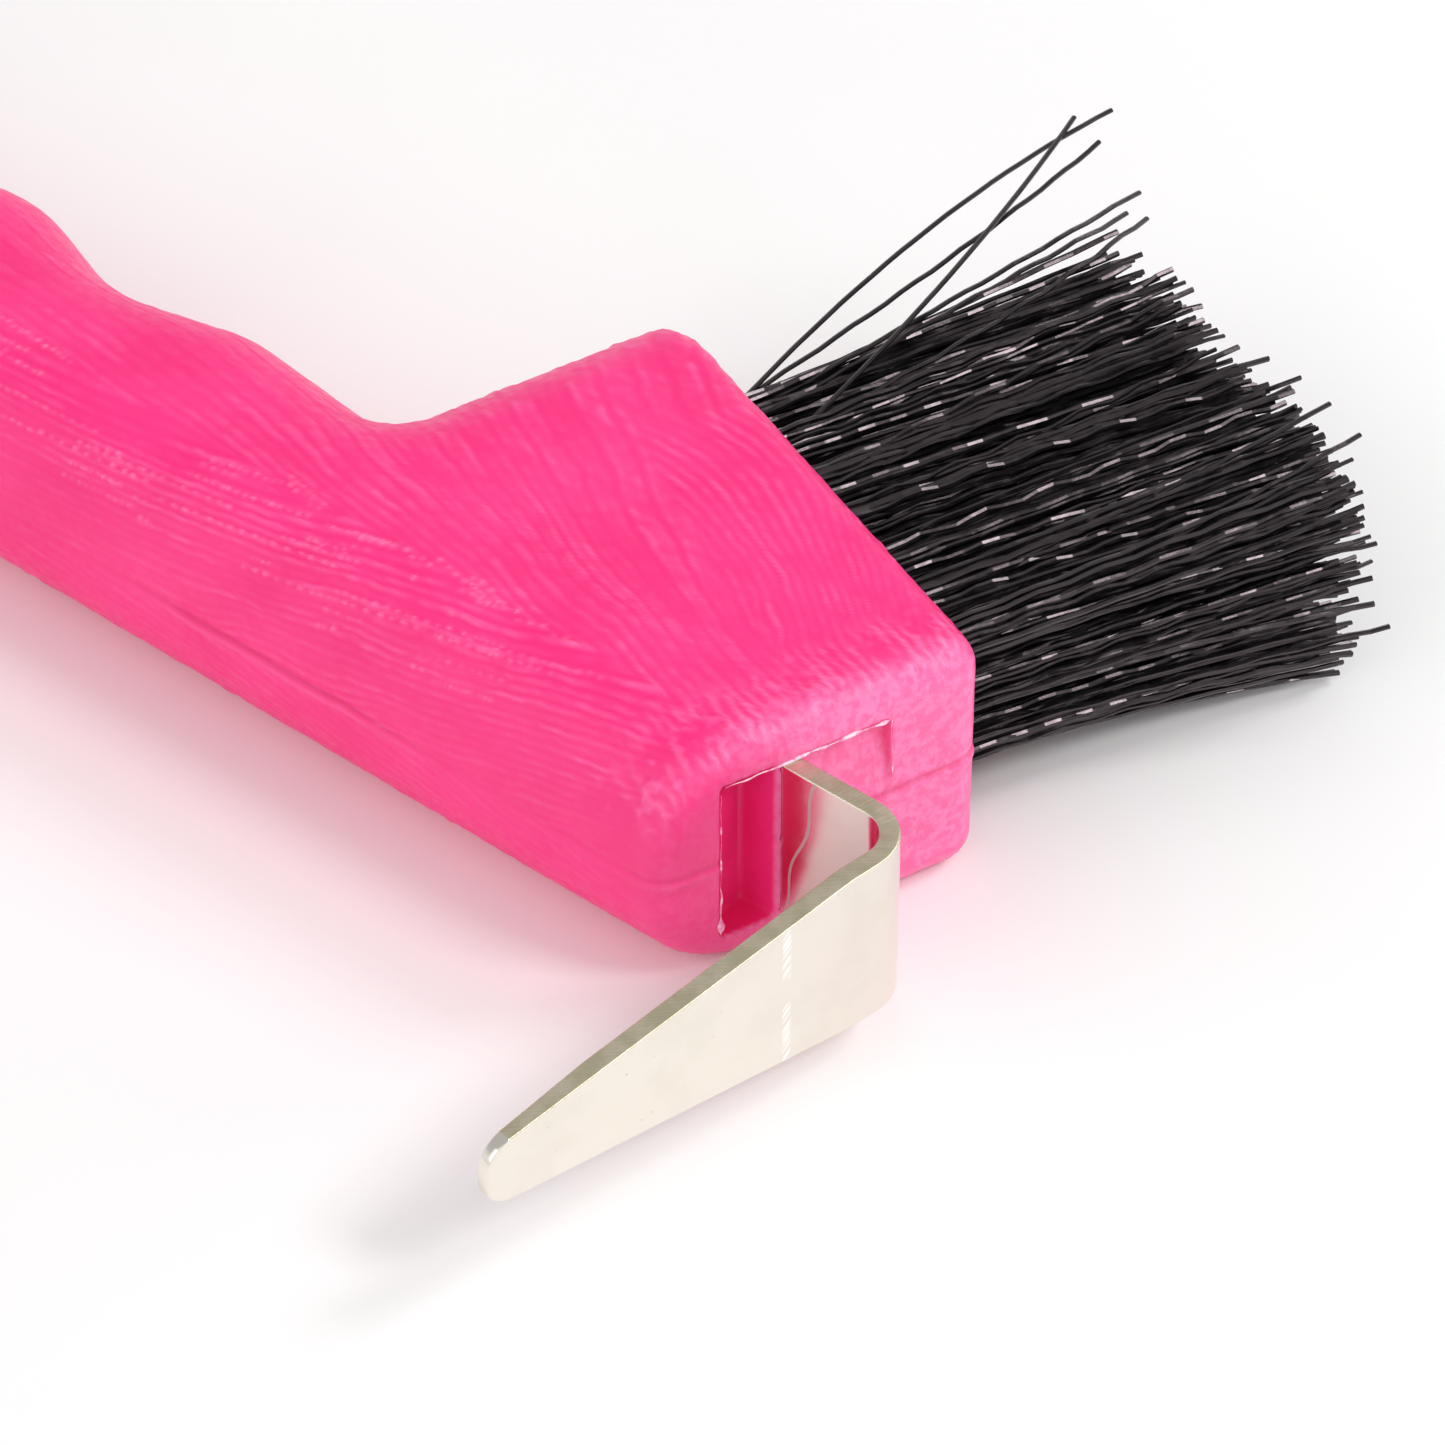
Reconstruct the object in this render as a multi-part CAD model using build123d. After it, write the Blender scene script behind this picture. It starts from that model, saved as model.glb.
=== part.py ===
"""Hoof pick: moulded handle and head, bent steel pick, stapled brush tufts.

Millimetres. Origin: axis of the hanging hole, at the parting plane half way
through the body. +X runs along the grip towards the pick, +Y towards the
brush, +Z out of the upper broad face.
"""
import os
from math import cos, radians, sin, tan

from build123d import *

# ---- moulded body -------------------------------------------------------
BODY_T = 22.0            # thickness between the two broad faces
GRIP_W = 22.4            # mean width of the grip
GRIP_L = 85.8            # hanging hole to the notch behind the head
SIDE_L = 131.4           # hanging hole to the end face, along the straight side
TAIL_R = 11.4            # round end of the grip about the hanging hole
END_L = 28.6             # length of the end face that holds the pick
END_LEAN = 18.5          # degrees the end face leans from square
BRUSH_LEAN = 20.6        # degrees the brush face drops towards the pick end
BACK_LEAN = 17.5         # degrees the back of the head leans from square
GRIP_ROUND = 8.6         # rounding of the grip's long edges
HEAD_ROUND = 2.8         # rounding round the end face and the brush face
NOTCH_W = 21.3           # body width at the notch behind the head
NOTCH_R = 2.4            # inside round of the notch
GRIP_BEND = 13.0         # bend of the finger swells and grooves
FINGERS = (              # their corners: along the grip, over the mean width
    (5.6, 0.4),
    (15.6, 2.4),
    (29.8, -2.1),
    (44.0, 3.2),
    (58.2, -2.1),
    (71.0, 0.9),
)

# ---- hanging hole -------------------------------------------------------
HANG_R = 3.6
HANG_EDGE = 1.2          # rounding of both rims of the hole

# ---- steel pick ---------------------------------------------------------
STRIP_T = 1.6            # thickness of the strip
STRIP_W = 15.0           # width of the strip
STRIP_Y = 9.9            # inner face of the shank from the straight side
SHANK_OUT = 11.0         # shank beyond the end face, along its inner face
SHANK_IN = 26.0          # shank moulded into the body
FOLD_R = 2.8             # inside radius of the fold
FOLD_ANGLE = 81.5        # inside angle between shank and blade
BLADE_L = 40.5           # inside corner of the fold to the end of the blade
BLADE_FULL = 6.0         # full width kept past the fold
TIP_W = 5.4              # width of the taper at the end of the blade
TIP_R = 2.5              # round of the tip's corners
TIP_THIN = 0.5           # taken off the inner face at the very end
TIP_THIN_L = 10.0        # length of the thinned end
KEY_R = 2.2              # moulding keys that pass through the shank
KEY_PITCH = 9.0
KEY_BACK = 6.0           # inner end of the shank to the first key
KEYS = 2

# ---- slot in the end face -----------------------------------------------
SLOT_GAP = 0.1           # pocket over the strip's width, each side
POCKET_W = 4.6           # open pocket on the inner side of the shank
POCKET_D = 3.7           # its depth
POCKET_LIP = 0.35        # wall left between the pocket and the shank
RECESS_W = 7.8           # shallow recess on the outer side of the shank
RECESS_D = 1.5           # its depth at the top, running out at mid height

# ---- brush --------------------------------------------------------------
ROWS = 3
COLUMNS = 7
TUFT_R = 2.0             # bundle radius at the face
TUFT_SWELL = 0.3         # more radius at the tips
TUFT_FIT = 0.03          # bundle to hole
HOLE_WALL = 1.14         # plastic left between neighbouring holes
HOLE_D = 9.0             # depth of the tuft holes
TUFT_OUT = 36.0          # filaments beyond the face
FAN_UP = 1.3             # outer rows' tips lie this far out, across the thickness
TUFT_LEAN = 1.9          # tips lie this far towards the pick end
FIELD_START = 7.1        # corner beside the pick to the first column

# ---- staples ------------------------------------------------------------
STAPLE_T = 0.4
STAPLE_BITE = 0.4        # plate past the hole on each side
STAPLE_H = 2.4           # along the hole
STAPLE_SEAT = 0.9        # filaments folded under the plate
STAPLE_FIT = 0.02
STAPLE_TURN = 45.0       # degrees the plates lie across the rows

NEAR_Y = -TAIL_R         # the straight side
HOLE_R = TUFT_R + TUFT_FIT
TUFT_PITCH = 2 * HOLE_R + HOLE_WALL
SHANK_Y = NEAR_Y + STRIP_Y
OVERCUT = 1.0            # cutters run this far past what they cut
SNAP = 0.01              # tolerance for picking edges and corners


def ray(start, angle, length):
    """Point at a distance and a direction from start, in plan."""
    a = radians(angle)
    return (start[0] + length * cos(a), start[1] + length * sin(a))


def crossing(p, p_angle, q, q_angle):
    """Where two plan lines meet, each given by a point and a direction."""
    pc, ps = cos(radians(p_angle)), sin(radians(p_angle))
    qc, qs = cos(radians(q_angle)), sin(radians(q_angle))
    t = ((q[0] - p[0]) * qs - (q[1] - p[1]) * qc) / (pc * qs - ps * qc)
    return (p[0] + t * pc, p[1] + t * ps)


NOTCH = (GRIP_L, NEAR_Y + NOTCH_W)
CORNER_NEAR = (SIDE_L, NEAR_Y)
CORNER_FRONT = ray(CORNER_NEAR, 90 - END_LEAN, END_L)
CORNER_BACK = crossing(CORNER_FRONT, 180 - BRUSH_LEAN, NOTCH, 90 - BACK_LEAN)
MOUTH_X = SIDE_L + STRIP_Y * tan(radians(END_LEAN))   # shank leaves the body here
FOLD = (MOUTH_X + SHANK_OUT, SHANK_Y)                 # inside corner of the fold

# Working planes: local x along the face, local y up, local z out of the face.
END_FACE = Plane(
    origin=(*CORNER_NEAR, 0),
    x_dir=(sin(radians(END_LEAN)), cos(radians(END_LEAN)), 0),
    z_dir=(cos(radians(END_LEAN)), -sin(radians(END_LEAN)), 0),
)
BRUSH_FACE = Plane(
    origin=(*CORNER_FRONT, 0),
    x_dir=(-cos(radians(BRUSH_LEAN)), sin(radians(BRUSH_LEAN)), 0),
    z_dir=(sin(radians(BRUSH_LEAN)), cos(radians(BRUSH_LEAN)), 0),
)


# ---- body ---------------------------------------------------------------
def grip_side():
    """Corners of the grip's far side, tail to notch; each is bent round."""
    mean = NEAR_Y + GRIP_W
    return [(0, TAIL_R), *((x, mean + over) for x, over in FINGERS), NOTCH]


def outline():
    """Plan outline at the mould's parting plane."""
    with BuildSketch() as plan:
        with BuildLine():
            Line((0, NEAR_Y), CORNER_NEAR)
            Line(CORNER_NEAR, CORNER_FRONT)
            Line(CORNER_FRONT, CORNER_BACK)
            Line(CORNER_BACK, NOTCH)
            FilletPolyline(*grip_side(), radius=GRIP_BEND)
            ThreePointArc((0, TAIL_R), (-TAIL_R, 0), (0, NEAR_Y))
        make_face()
        corner = plan.vertices().sort_by_distance((*NOTCH, 0))[0]
        fillet(corner, NOTCH_R)
    return plan.sketch


def lies_on(edge, plane):
    """True when the edge's middle is on the plane."""
    return abs(plane.to_local_coords(edge.center()).Z) < SNAP


def shell():
    """The body's outside: deep rounding on the grip, small on the head's faces."""
    body = extrude(outline(), BODY_T / 2, both=True)
    broad = body.faces().sort_by(Axis.Z)
    rims = broad[0].edges() + broad[-1].edges()
    long_edges = [
        e for e in rims if not lies_on(e, END_FACE) and not lies_on(e, BRUSH_FACE)
    ]
    body = fillet(long_edges, GRIP_ROUND)
    head_edges = [
        e for e in body.edges() if lies_on(e, END_FACE) or lies_on(e, BRUSH_FACE)
    ]
    return fillet(head_edges, HEAD_ROUND)


def hanging_hole():
    """Through hole for a hook or cord."""
    return Cylinder(HANG_R, BODY_T + 2 * OVERCUT)


def hole_rims(body):
    """Both rims of the hanging hole."""
    round_edges = body.edges().filter_by(GeomType.CIRCLE)
    return [
        e
        for e in round_edges
        if abs(e.radius - HANG_R) < SNAP and abs(e.arc_center.X) < SNAP
    ]


def end_pocket():
    """Open pocket in the end face, on the inner side of the shank."""
    far_y = SHANK_Y - POCKET_LIP
    return Pos(MOUTH_X - POCKET_D, far_y - POCKET_W, 0) * Box(
        POCKET_D + SHANK_OUT,
        POCKET_W,
        STRIP_W + 2 * SLOT_GAP,
        align=(Align.MIN, Align.MIN, Align.CENTER),
    )


def end_recess():
    """Drafted recess above mid height, on the outer side of the shank."""
    near = (STRIP_Y + STRIP_T) / cos(radians(END_LEAN))
    top = STRIP_W / 2 + SLOT_GAP
    side = Plane(
        origin=END_FACE.from_local_coords((near, 0, 0)),
        x_dir=END_FACE.z_dir,
        z_dir=-END_FACE.x_dir,
    )
    wedge = side * Polygon((0, 0), (0, top), (-RECESS_D, top), align=None)
    return extrude(wedge, -RECESS_W)


def tuft_place(row, column):
    """Centre of one tuft at the brush face, in the face's own coordinates."""
    along = FIELD_START + column * TUFT_PITCH
    up = (row - (ROWS - 1) / 2) * TUFT_PITCH
    return along, up


def tuft_places():
    """Every (row, column) of the brush."""
    return [(row, column) for row in range(ROWS) for column in range(COLUMNS)]


def staple_box(row, column, clearance=0.0):
    """The flat plate that pins a tuft, grown by a clearance all round."""
    along, up = tuft_place(row, column)
    depth = HOLE_D - STAPLE_SEAT - STAPLE_H / 2
    plate = Box(
        2 * (HOLE_R + STAPLE_BITE) + 2 * clearance,
        STAPLE_T + 2 * clearance,
        STAPLE_H + 2 * clearance,
    )
    return BRUSH_FACE * Pos(along, up, -depth) * Rot(0, 0, STAPLE_TURN) * plate


def tuft_hole(row, column):
    """Blind hole square to the brush face."""
    along, up = tuft_place(row, column)
    drill = Cylinder(
        HOLE_R, HOLE_D + OVERCUT, align=(Align.CENTER, Align.CENTER, Align.MIN)
    )
    return BRUSH_FACE * Pos(along, up, -HOLE_D) * drill


def make_body(pick):
    """Handle and head in one moulding, closed round the pick's shank."""
    body = shell() - hanging_hole()
    body = fillet(hole_rims(body), HANG_EDGE)
    body = body - end_pocket() - end_recess() - pick
    for row, column in tuft_places():
        body = body - tuft_hole(row, column) - staple_box(row, column, STAPLE_FIT)
    return body


# ---- pick ---------------------------------------------------------------
def strip_path():
    """Strip seen in plan: shank, fold and blade at full thickness."""
    blade_angle = 180 + FOLD_ANGLE
    inner = [
        (MOUTH_X - SHANK_IN, SHANK_Y),
        FOLD,
        ray(FOLD, blade_angle, BLADE_L),
    ]
    outer_fold = crossing(
        (FOLD[0], SHANK_Y + STRIP_T),
        0,
        ray(FOLD, blade_angle + 90, STRIP_T),
        blade_angle,
    )
    outer = [
        (inner[0][0], SHANK_Y + STRIP_T),
        outer_fold,
        ray(inner[2], blade_angle + 90, STRIP_T),
    ]
    with BuildSketch() as plan:
        with BuildLine():
            Polyline(*inner, *outer[::-1], close=True)
        make_face()
        for corner, bend in ((FOLD, FOLD_R), (outer_fold, FOLD_R + STRIP_T)):
            fillet(plan.vertices().sort_by_distance((*corner, 0))[0], bend)
    return plan.sketch


def blade_plane():
    """Plane of the blade's inner face: local x to the tip, local y up."""
    a = radians(180 + FOLD_ANGLE)
    return Plane(
        origin=(*FOLD, 0), x_dir=(cos(a), sin(a), 0), z_dir=(sin(a), -cos(a), 0)
    )


def blade_offcuts():
    """What is trimmed from the strip to leave the tapered, rounded blade."""
    full = STRIP_W / 2
    tip = TIP_W / 2
    with BuildSketch() as kept:
        with BuildLine():
            Polyline(
                (0, full),
                (BLADE_FULL, full),
                (BLADE_L, tip),
                (BLADE_L, -tip),
                (BLADE_FULL, -full),
                (0, -full),
                close=True,
            )
        make_face()
        ends = corners_at(kept, BLADE_L)
        fillet(ends, TIP_R)
    spare = Pos(BLADE_FULL, 0) * Rectangle(
        BLADE_L, STRIP_W + 2 * OVERCUT, align=(Align.MIN, Align.CENTER)
    )
    return blade_plane() * extrude(spare - kept.sketch, 2 * STRIP_T, both=True)


def corners_at(sketch, x):
    """Corners of a sketch at one local x."""
    return [v for v in sketch.vertices() if abs(v.X - x) < SNAP]


def thinned_tip():
    """Wedge ground off the inner face at the end of the blade."""
    start = BLADE_L - TIP_THIN_L
    wedge = Polygon((start, 0), (BLADE_L, -TIP_THIN), (BLADE_L, 0), align=None)
    turned = blade_plane() * Plane.XZ.location
    return extrude(turned * wedge, STRIP_W, both=True)


def shank_holes():
    """Holes through the shank that the moulding keys fill."""
    first = MOUTH_X - SHANK_IN + KEY_BACK
    drill = Rot(90, 0, 0) * Cylinder(KEY_R, 4 * STRIP_T)
    return [Pos(first + i * KEY_PITCH, SHANK_Y, 0) * drill for i in range(KEYS)]


def make_pick():
    """Steel strip folded back and tapered to a rounded tip."""
    strip = extrude(strip_path(), STRIP_W / 2, both=True)
    strip = strip - blade_offcuts() - thinned_tip()
    for hole in shank_holes():
        strip = strip - hole
    return strip


# ---- tufts --------------------------------------------------------------
def make_tuft(row, column):
    """Bundle of filaments folded under its staple and fanned past the face."""
    along, up = tuft_place(row, column)
    lean_up = (row - (ROWS - 1) / 2) * FAN_UP
    stub = Cylinder(
        TUFT_R, HOLE_D - TUFT_FIT, align=(Align.CENTER, Align.CENTER, Align.MAX)
    )
    fan = loft([
        Circle(TUFT_R),
        Pos(-TUFT_LEAN, lean_up, TUFT_OUT) * Circle(TUFT_R + TUFT_SWELL),
    ])
    bundle = BRUSH_FACE * Pos(along, up, 0) * (stub + fan)
    return bundle - staple_box(row, column)


def build():
    """Every sub-part by its node name."""
    pick = make_pick()
    nodes = {"handle_body": make_body(pick), "steel_pick": pick}
    for row, column in tuft_places():
        tag = f"{row + 1}_{column + 1}"
        nodes[f"tuft_{tag}"] = make_tuft(row, column)
        nodes[f"staple_{tag}"] = staple_box(row, column)
    return nodes


os.makedirs("parts", exist_ok=True)
for name, shape in build().items():
    shape.label = name
    export_step(shape, f"parts/{name}.step")
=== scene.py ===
"""Looks of the hoof pick, modelled round its packed construction. Metres."""
import math

import bmesh
import bpy
import numpy as np
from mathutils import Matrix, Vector
from mathutils.kdtree import KDTree


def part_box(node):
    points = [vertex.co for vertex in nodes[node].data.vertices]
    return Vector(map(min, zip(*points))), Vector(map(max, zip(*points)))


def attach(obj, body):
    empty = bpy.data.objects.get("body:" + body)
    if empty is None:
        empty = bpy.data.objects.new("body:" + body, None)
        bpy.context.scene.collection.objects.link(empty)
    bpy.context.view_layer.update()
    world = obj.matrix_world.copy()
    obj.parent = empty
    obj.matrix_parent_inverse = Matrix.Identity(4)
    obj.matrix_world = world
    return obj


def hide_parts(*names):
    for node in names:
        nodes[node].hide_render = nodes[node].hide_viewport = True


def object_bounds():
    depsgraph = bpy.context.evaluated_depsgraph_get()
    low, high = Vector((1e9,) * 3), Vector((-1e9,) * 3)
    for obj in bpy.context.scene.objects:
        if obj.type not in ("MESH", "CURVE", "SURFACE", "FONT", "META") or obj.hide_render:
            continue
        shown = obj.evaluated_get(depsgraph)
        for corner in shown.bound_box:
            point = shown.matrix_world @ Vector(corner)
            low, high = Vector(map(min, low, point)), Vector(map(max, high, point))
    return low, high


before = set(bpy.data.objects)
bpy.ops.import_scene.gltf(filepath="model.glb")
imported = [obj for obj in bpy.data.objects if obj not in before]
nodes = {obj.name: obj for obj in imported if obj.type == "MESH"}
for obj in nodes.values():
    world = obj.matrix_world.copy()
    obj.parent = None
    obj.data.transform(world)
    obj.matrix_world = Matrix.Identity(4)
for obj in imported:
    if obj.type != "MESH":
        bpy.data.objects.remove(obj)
cad_low, cad_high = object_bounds()

MM = 0.001
LATTICE = 48                 # cells of the noise table along each side

# ---- directions of the tool's faces -------------------------------------
END_LEAN = math.radians(18.5)
BRUSH_LEAN = math.radians(20.6)
BLADE_TURN = math.radians(261.5)         # heading of the blade, in plan
END_OUT = np.array((math.cos(END_LEAN), -math.sin(END_LEAN), 0))
END_ALONG = np.array((math.sin(END_LEAN), math.cos(END_LEAN), 0))
BRUSH_OUT = np.array((math.sin(BRUSH_LEAN), math.cos(BRUSH_LEAN), 0))
BRUSH_ALONG = np.array((-math.cos(BRUSH_LEAN), math.sin(BRUSH_LEAN), 0))
BLADE_ALONG = np.array((math.cos(BLADE_TURN), math.sin(BLADE_TURN), 0))
UP = np.array((0.0, 0.0, 1.0))

# ---- camera, floor and light --------------------------------------------
CAMERA_TARGET = Vector((0.123, 0.0057, 0))
CAMERA_AZIMUTH = math.radians(39.9)
CAMERA_ELEVATION = math.radians(42)
CAMERA_DISTANCE = 0.4545
CAMERA_LENS = 149.5
SENSOR = 36
FLOOR_R = 1.6
FLOOR_SIDES = 96
SKY = ((0.0, 0.6), (0.07, 0.9), (0.2, 0.86), (0.5, 0.51))    # rise, strength

# ---- moulded body -------------------------------------------------------
VOXEL = 0.26 * MM
GRAIN_AXIS_Y = -4.0          # mm; the tongues of the grain point along this line
GRAIN_PITCH = 4.0            # mm of grain run from one line to the next
GRAIN_DEPTH = 0.18           # mm
BEAD_HEIGHT = 0.17           # mm
BEAD_R = 0.22
BEAD_CHAINS = 52
BEAD_ZONE = ((43, 132), (-24, 0))    # mm; where beads can lie, along x and y
SEAM_APEX = (107.3, 15.9)    # mm; start of the seam in the head's grain
SEAM_TURN = math.radians(-27)
CROSS_TURN = math.radians(-8)        # grain on the brush side of the seam
CROSS_PITCH = 1.05
END_PITCH = 0.9              # mm between the striations over the end face
PARTING_DEPTH = 0.16
PARTING_LIP = 0.14
SLOT_CLEARANCE = 0.1
POCKET_W = 4.6
POCKET_LIP = 0.35
RECESS_W = 7.8
HANG_ZONE = 5.4              # mm round the hanging hole without grain
HANG_INNER = 4.8             # mm; the hanging hole's wall is within this
SLOT_BACK_X = 103            # mm; the slot doesn't reach past here
FLASH_SIDES = 8

# ---- brush --------------------------------------------------------------
HOLE_DEPTH = 8.97            # mm of each bundle inside its hole
HOLE_R = 2.0
FOLD_DEPTH = 8.36            # mm from the mouth to the fold under the staple
FOLD_STEP = 0.36             # mm that the outer strands' folds lie deeper
ANCHOR_DEPTHS = (-8.0, -5.0, -2.0)   # mm; points of each leg inside the hole
FILAMENT_WIDE = 0.25         # mm, half the width of the flattened section
FILAMENT_THICK = 0.18
FILAMENT_SIDES = 6
LEG_PITCH = 0.5              # mm between legs in the hole
LEG_ROW = 0.44
SLIT = 0.45                  # mm from the staple's middle to the first legs
BUNDLE_R = 1.77
STAPLE_TURN = math.radians(45)
CRIMP = 0.2                  # mm
CRIMP_TURN = math.radians(130)       # the waves lie mostly in this plane
CRIMP_PITCH = 5.7
TIP_SPREAD = 1.42
TIP_DRIFT = 0.65
SPLAYED_SHARE = 0.09         # share of legs that lean out of their bundle
SHORT_SHARE = 0.07           # share of legs that are cut short
LENGTHS = (35.6, 36.6, 37.2, 36.8, 36.4, 37.2, 35.8)   # mm, by column
STEPS = 26


def smooth(value, low, high):
    """0 below low, 1 above high, and a smooth step between."""
    t = np.clip((value - low) / (high - low), 0, 1)
    return t * t * (3 - 2 * t)


def noise(points, size, seed):
    """Smooth noise from -1 to 1, with features about size across."""
    table = np.random.default_rng(seed).uniform(-1, 1, (LATTICE,) * 3)
    q = points / np.asarray(size, float)
    cell = np.floor(q).astype(int)
    part = q - cell
    part = part * part * (3 - 2 * part)
    total = np.zeros(len(points))
    for corner in np.ndindex(2, 2, 2):
        share = np.prod(np.where(corner, part, 1 - part), axis=1)
        x, y, z = ((cell + corner) % LATTICE).T
        total += share * table[x, y, z]
    return total


def mesh_points(mesh, kind="co"):
    """Vertex positions or normals as an array."""
    found = np.empty(len(mesh.vertices) * 3, np.float32)
    if kind == "co":
        mesh.vertices.foreach_get("co", found)
    else:
        mesh.vertex_normals.foreach_get("vector", found)
    return found.reshape(-1, 3).astype(float)


def add_piece(name, mesh, material, slot, *replaced):
    """A finished piece in the scene, riding on the tool."""
    piece = bpy.data.objects.new(name, mesh)
    bpy.context.scene.collection.objects.link(piece)
    if material is not None:
        mesh.materials.clear()
        mesh.materials.append(material)
    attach(piece, "root")
    if replaced:
        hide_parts(*replaced)
    return piece


# ---- material helpers ---------------------------------------------------
class Shading:
    """A Principled material with short calls for the nodes that feed it."""

    def __init__(self, name, **values):
        self.material = bpy.data.materials.new(name)
        self.material.use_nodes = True
        self.tree = self.material.node_tree
        self.shader = self.tree.nodes["Principled BSDF"]
        for socket, value in values.items():
            self.shader.inputs[socket.replace("_", " ")].default_value = value
        self.place = self.tree.nodes.new("ShaderNodeTexCoord").outputs["Object"]

    def link(self, source, target):
        """Joins an output to an input."""
        self.tree.links.new(source, target)

    def noise(self, size_mm, detail=2.0, roughness=0.5):
        """Noise with features of that size."""
        texture = self.tree.nodes.new("ShaderNodeTexNoise")
        texture.inputs["Scale"].default_value = 1 / (size_mm * MM)
        texture.inputs["Detail"].default_value = detail
        texture.inputs["Roughness"].default_value = roughness
        self.link(self.place, texture.inputs["Vector"])
        return texture.outputs["Fac"]

    def attribute(self, name):
        """A value painted on the mesh."""
        node = self.tree.nodes.new("ShaderNodeAttribute")
        node.attribute_name = name
        return node.outputs["Fac"]

    def axis_mm(self, axis):
        """One coordinate of the point, in mm."""
        split = self.tree.nodes.new("ShaderNodeSeparateXYZ")
        self.link(self.place, split.inputs["Vector"])
        return self.math("MULTIPLY", split.outputs[axis], 1 / MM)

    def line_noise(self, value, pitch, shift=0.0):
        """Noise that only changes along one value in mm."""
        texture = self.tree.nodes.new("ShaderNodeTexNoise")
        texture.noise_dimensions = "1D"
        texture.inputs["Scale"].default_value = 1.0
        texture.inputs["Detail"].default_value = 2.0
        at = self.math("ADD", self.math("MULTIPLY", value, 1 / pitch), shift)
        self.link(at, texture.inputs["W"])
        return texture.outputs["Fac"]

    def band(self, value, middle, low, high):
        """1 where a value is within low of the middle, 0 beyond high."""
        away = self.math("ABSOLUTE", self.math("SUBTRACT", value, middle), 0.0)
        return self.remap(away, low, high, 1.0, 0.0)

    def remap(self, value, low, high, to_low=0.0, to_high=1.0):
        """A value's range stretched to another, and cut off there."""
        node = self.tree.nodes.new("ShaderNodeMapRange")
        node.interpolation_type = "SMOOTHSTEP"
        for socket, number in zip(
            ("From Min", "From Max", "To Min", "To Max"),
            (low, high, to_low, to_high),
        ):
            node.inputs[socket].default_value = number
        self.link(value, node.inputs["Value"])
        return node.outputs["Result"]

    def math(self, kind, a, b):
        """One sum on two values, each an output or a number."""
        node = self.tree.nodes.new("ShaderNodeMath")
        node.operation = kind
        for socket, value in zip(node.inputs, (a, b)):
            if isinstance(value, (int, float)):
                socket.default_value = value
            else:
                self.link(value, socket)
        return node.outputs["Value"]

    def mix(self, share, a, b):
        """Colour a where share is 0 and b where it is 1."""
        node = self.tree.nodes.new("ShaderNodeMix")
        node.data_type = "RGBA"
        self.link(share, node.inputs["Factor"])
        for socket, value in ((node.inputs[6], a), (node.inputs[7], b)):
            if isinstance(value, tuple):
                socket.default_value = (*value, 1)
            else:
                self.link(value, socket)
        return node.outputs[2]

    def bumps(self, *layers):
        """Bump nodes in a row: each layer is (height output, depth in mm)."""
        normal = None
        for height, depth in layers:
            node = self.tree.nodes.new("ShaderNodeBump")
            node.inputs["Strength"].default_value = 1.0
            node.inputs["Distance"].default_value = depth * MM
            self.link(height, node.inputs["Height"])
            if normal is not None:
                self.link(normal, node.inputs["Normal"])
            normal = node.outputs["Normal"]
        self.link(normal, self.shader.inputs["Normal"])

    def drive(self, socket, value):
        """Feeds one input of the shader."""
        self.link(value, self.shader.inputs[socket])


def plastic_material():
    """Hot pink moulded plastic: satin, with painted highlights on ridges, painted sheen on
    frosted edges.
    """
    m = Shading(
        "hot_pink_plastic",
        IOR=1.47,
        Subsurface_Weight=0.12,
        Subsurface_Radius=(0.9, 0.25, 0.45),
        Subsurface_Scale=1.4 * MM,
    )
    cloudy = m.remap(m.noise(9, 3.0), 0.35, 0.65)
    colour = m.mix(cloudy, (0.93, 0.016, 0.205), (0.98, 0.026, 0.235))
    # painted highlight: lighter pink on the grain ridges, the parting lip and the pebbles by the
    # end face
    ridge_highlight = m.math("MULTIPLY", m.attribute("ridge_highlight"), 0.85)
    colour = m.mix(ridge_highlight, colour, (1.0, 0.12, 0.38))
    mottle = m.remap(m.noise(0.9, 4.0, 0.65), 0.38, 0.62, 0.55, 1.0)
    # painted sheen: paler, mottled pink over the end face and its rounded rim
    painted_sheen = m.math("MULTIPLY", m.attribute("painted_sheen"), mottle)
    colour = m.mix(painted_sheen, colour, (1.0, 0.235, 0.5))
    # painted highlight: paler pink on the beads
    bead_highlight = m.math("MULTIPLY", m.attribute("bead_highlight"), 0.75)
    colour = m.mix(bead_highlight, colour, (1.0, 0.27, 0.53))
    # painted shade: darker in the parting line's groove
    groove_shade = m.math("MULTIPLY", m.attribute("groove_shade"), 0.5)
    colour = m.mix(groove_shade, colour, (0.62, 0.006, 0.11))
    m.drive("Base Color", colour)
    worn = m.remap(m.noise(0.9, 3.0), 0.3, 0.7, 0.34, 0.5)
    m.drive("Roughness", worn)
    fine = m.noise(0.22, 3.0, 0.6)
    wavy = m.noise(1.6, 2.0)
    m.bumps((wavy, 0.05), (fine, 0.012))
    return m.material


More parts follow.
